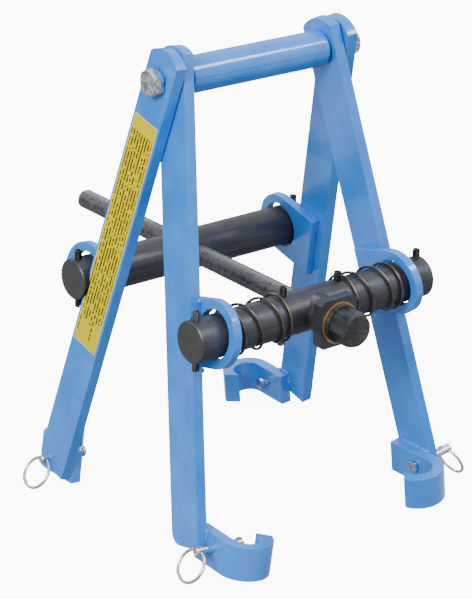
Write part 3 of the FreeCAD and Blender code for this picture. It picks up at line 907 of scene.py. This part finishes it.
def thread(shape: Shape, start: Vector, end: Vector, radius: float, pitch: float, chamfer: float,
           sides: int = 28) -> None:
    """Adds a closed threaded rod whose crests run at its full radius.

    Args:
        shape: The mesh that takes the rod.
        start: The middle of its first end.
        end: The middle of its far end, which is chamfered.
        radius: The crests' radius.
        pitch: Growth for each turn.
        chamfer: The chamfer on the far end.
        sides: Steps for each turn.
    """
    along = (end - start).normalized()
    side = along.orthogonal().normalized()
    root = radius - 0.54 * pitch
    turns = math.ceil((end - start).length / pitch) + 2
    rod = bmesh.new()
    outline = [rod.verts.new(start + along * (place - 1) * pitch + side * far)
               for place, far in ((0.0, root), (0.42, radius), (0.58, radius), (1.0, root))]
    edges = [rod.edges.new(pair) for pair in zip(outline, outline[1:])]
    bmesh.ops.spin(rod, geom=[*outline, *edges], cent=start, axis=along, dvec=along * pitch / sides,
                   angle=math.tau * turns, steps=sides * turns, use_duplicate=False)
    bmesh.ops.remove_doubles(rod, verts=rod.verts, dist=4e-5)
    for point, normal in ((start, -along), (end, along)):
        geometry = [*rod.verts, *rod.edges, *rod.faces]
        bmesh.ops.bisect_plane(
            rod, geom=geometry, dist=1e-7, plane_co=point, plane_no=normal, clear_outer=True)
    for vert in rod.verts:
        away = vert.co - start
        height = away.dot(along)
        outward = away - along * height
        limit = radius - chamfer + (end - start).length - height
        if outward.length > limit:
            vert.co = start + along * height + outward.normalized() * limit
    bmesh.ops.holes_fill(rod, edges=[e for e in rod.edges if e.is_boundary], sides=0)
    bmesh.ops.recalc_face_normals(rod, faces=rod.faces)
    data = bpy.data.meshes.new("thread")
    rod.to_mesh(data)
    rod.free()
    shape.mesh.from_mesh(data)
    bpy.data.meshes.remove(data)


@dataclass
class CrossBars:
    """The two cross bars with their spring pins, and the thrust washer."""

    end_test: float = 0.9
    end_from: float = 0.150

    def is_end(self, face: Face) -> bool:
        """True for the sawn end faces of a bar."""
        return abs(face.normal.x) > self.end_test and abs(face.calc_center_median().x) > self.end_from

    def dress(self) -> None:
        """Makes the bars' pieces."""
        for side, body in (("front", "front_bar"), ("back", "back_bar")):
            bar = Shape(f"{side}_cross_bar").ease(1.1 * MM, 3, 35.0)
            stand_for(bar.piece(f"{side}_bar", Finish.BAR, (Finish.SAWN, self.is_end)), f"{side}_cross_bar",
                      body)
        pins = [n for n in frame["nodes"] if n.startswith("spring_pin_")]
        for node in pins:
            pin = Shape(node).ease(0.35 * MM, 2, 50.0)
            stand_for(pin.piece(node.replace("spring_pin", "roll_pin"), Finish.ROLL_PIN), node,
                      "front_bar" if "front" in node else "back_bar")
        washer = Shape("thrust_washer").ease(0.4 * MM, 2)
        stand_for(washer.piece("bronze_washer", Finish.BRONZE), "thrust_washer", "front_bar")


@dataclass
class ForcingScrew:
    """The long forcing screw: flanged drive hexagon, plain neck and fine thread."""

    radius: float = 11.1 * MM
    pitch: float = 25.4 / 9 * MM
    neck_end: float = -86.0 * MM
    chamfer: float = 2.6 * MM
    head_from: float = -145.0 * MM

    def dress(self) -> None:
        """Keeps the head of the CAD screw and adds the thread behind it."""
        low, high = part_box("forcing_screw")
        height = joint("screw_turn")["pos_m"][2]
        shape = Shape("forcing_screw")
        shape.keep_side(Vector((0, self.neck_end, 0)), Vector((0, 1, 0)))
        shape.ease(0.7 * MM, 3, 14.0, lambda e: min(v.co.y for v in e.verts) < self.neck_end - 60 * MM)
        thread(shape, Vector((0, self.neck_end - 2 * MM, height)), Vector((0, high.y, height)), self.radius,
               self.pitch, self.chamfer)
        head = (Finish.HEAD, lambda face: face.calc_center_median().y < self.head_from)
        screw = shape.piece("long_screw", Finish.SCREW, head)
        stand_for(screw, "forcing_screw", "screw")


@dataclass
class SpreaderSpring:
    """A spreader spring on the front bar: closed turns at both ends and open ones between."""

    side: int
    start: float = 42.6 * MM
    radius: float = 24.8 * MM
    wire: float = 1.5 * MM
    runs: list[tuple[float, float]] = field(
        default_factory=lambda: [(1.0, 3.6 * MM), (1.0, 27.5 * MM), (1.0, 27.5 * MM), (1.05, 7.5 * MM)]
    )

    def dress(self) -> None:
        """Winds the spring from its inner end outwards."""
        name = "left" if self.side < 0 else "right"
        centre = Vector(joint("front_bar_turn")["pos_m"]) + Vector((self.side * self.start, 0, 0))
        shape = Shape().coil(centre, Vector((self.side, 0, 0)), self.radius, (self.wire, self.wire),
                             self.runs, Vector((0, 0.3, -1)), 44, 12).outward()
        stand_for(shape.piece(f"open_coil_{name}", Finish.WIRE, smooth=60.0), f"spreader_spring_{name}",
                  "front_bar")


# ----------------------------------------------------------------------- studio


@dataclass
class Studio:
    """Pale floor, soft light and the camera."""

    eye: tuple[float, float, float] = (-1.40132, -1.71913, 1.13490)
    right: tuple[float, float, float] = (0.7836634, -0.6208288, 0.0210541)
    up: tuple[float, float, float] = (0.2228144, 0.3125704, 0.9233924)
    lens: float = 135.83
    sky: Colour = (0.93, 0.96, 1.0)
    sky_strength: float = 1.5
    bands: tuple[tuple[float, float], ...] = (
        (0.01, 0.18), (0.22, 0.25), (0.31, 0.95), (0.37, 0.16), (0.55, 0.20), (0.70, 0.85), (0.99, 1.0),
    )

    def floor(self) -> None:
        """A wide pale plane under the tool."""
        sheet = bmesh.new()
        bmesh.ops.create_grid(sheet, x_segments=1, y_segments=1, size=12.0)
        data = bpy.data.meshes.new("studio_floor")
        sheet.to_mesh(data)
        sheet.free()
        data.materials.append(Finish.FLOOR.material())
        plane = bpy.data.objects.new("studio_floor", data)
        plane.visible_diffuse = False
        plane.visible_glossy = False
        bpy.context.scene.collection.objects.link(plane)

    def lamp(self, name: str, place: Vector, size: float, power: float, colour: Colour) -> None:
        """A square soft light that faces the tool.

        Args:
            name: The light's name.
            place: Where it hangs.
            size: Its side.
            power: Watts.
            colour: Its colour.
        """
        light = bpy.data.lights.new(name, "AREA")
        light.shape = "SQUARE"
        light.size = size
        light.energy = power
        light.color = colour
        holder = bpy.data.objects.new(name, light)
        aim = Vector((0, 0, 0.25)) - place
        holder.matrix_world = Matrix.Translation(place) @ aim.to_track_quat("-Z", "Y").to_matrix().to_4x4()
        bpy.context.scene.collection.objects.link(holder)

    def world(self) -> None:
        """Soft light from above, a bright band below the horizon and darkness between."""
        world = bpy.data.worlds.new("studio")
        world.use_nodes = True
        tree = world.node_tree
        background = next(n for n in tree.nodes if n.type == "BACKGROUND")
        direction = tree.nodes.new("ShaderNodeTexCoord")
        split = tree.nodes.new("ShaderNodeSeparateXYZ")
        bands = tree.nodes.new("ShaderNodeValToRGB")
        elements = bands.color_ramp.elements
        for place, level in self.bands:
            element = elements.new(place)
            element.color = (*(level * part for part in self.sky), 1.0)
        elements.remove(elements[0])
        elements.remove(elements[-1])
        shift = tree.nodes.new("ShaderNodeMapRange")
        shift.inputs["From Min"].default_value = -1.0
        tree.links.new(direction.outputs["Generated"], split.inputs[0])
        tree.links.new(split.outputs["Z"], shift.inputs["Value"])
        tree.links.new(shift.outputs[0], bands.inputs[0])
        tree.links.new(bands.outputs[0], background.inputs["Color"])
        background.inputs["Strength"].default_value = self.sky_strength
        bpy.context.scene.world = world

    def camera(self) -> None:
        """The camera that the main view uses."""
        right, up = Vector(self.right).normalized(), Vector(self.up).normalized()
        back = right.cross(up)
        turn = Matrix((right, up, back)).transposed().to_4x4()
        lens = bpy.data.cameras.new("main_camera")
        lens.lens = self.lens
        lens.sensor_width = 36.0
        holder = bpy.data.objects.new("main_camera", lens)
        holder.matrix_world = Matrix.Translation(self.eye) @ turn
        bpy.context.scene.collection.objects.link(holder)
        bpy.context.scene.camera = holder

    def dress(self) -> None:
        """Builds the whole studio."""
        self.floor()
        self.world()
        self.lamp("key", Vector((-2.6, -0.9, 1.9)), 1.2, 95.0, (1.0, 0.99, 0.97))
        self.lamp("fill", Vector((1.8, -2.6, 0.75)), 1.4, 7.0, (0.95, 0.98, 1.0))
        self.lamp("strip", Vector((1.7, -1.5, 2.4)), 0.55, 26.0, (1.0, 1.0, 1.0))
        self.lamp("rim", Vector((0.6, 2.6, 2.0)), 1.4, 30.0, (1.0, 1.0, 1.0))
        self.camera()


def legs() -> list[Leg]:
    """The four legs: the front pair against the sleeve, the back pair outside it."""
    inner = 91.3 * MM
    outer = inner + 12.7 * MM / math.cos(math.radians(7.6)) + 3.4 * MM
    return [
        Leg("front_left", 180.0, 1, 7.6, inner, 28.5 * MM, 16.0 * MM),
        Leg("front_right", 180.0, -1, 7.6, inner, 13.5 * MM, 46.0 * MM),
        Leg("back_left", 0.0, -1, 6.8, outer, 8.0 * MM, 40.0 * MM),
        Leg("back_right", 0.0, 1, 6.8, outer, 28.5 * MM, 16.0 * MM),
    ]


def main() -> None:
    """Builds every piece round the frame."""
    logging.basicConfig(level=logging.INFO, format="%(message)s")
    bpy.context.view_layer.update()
    made = legs()
    pieces = [*made, *(RetainingPin(leg) for leg in made), BlankLabel(made[2]), Pivot(), CrossBars(),
              ForcingScrew(), SpreaderSpring(-1), SpreaderSpring(1), Studio()]
    for piece in pieces:
        piece.dress()


if __name__ == "__main__":
    main()
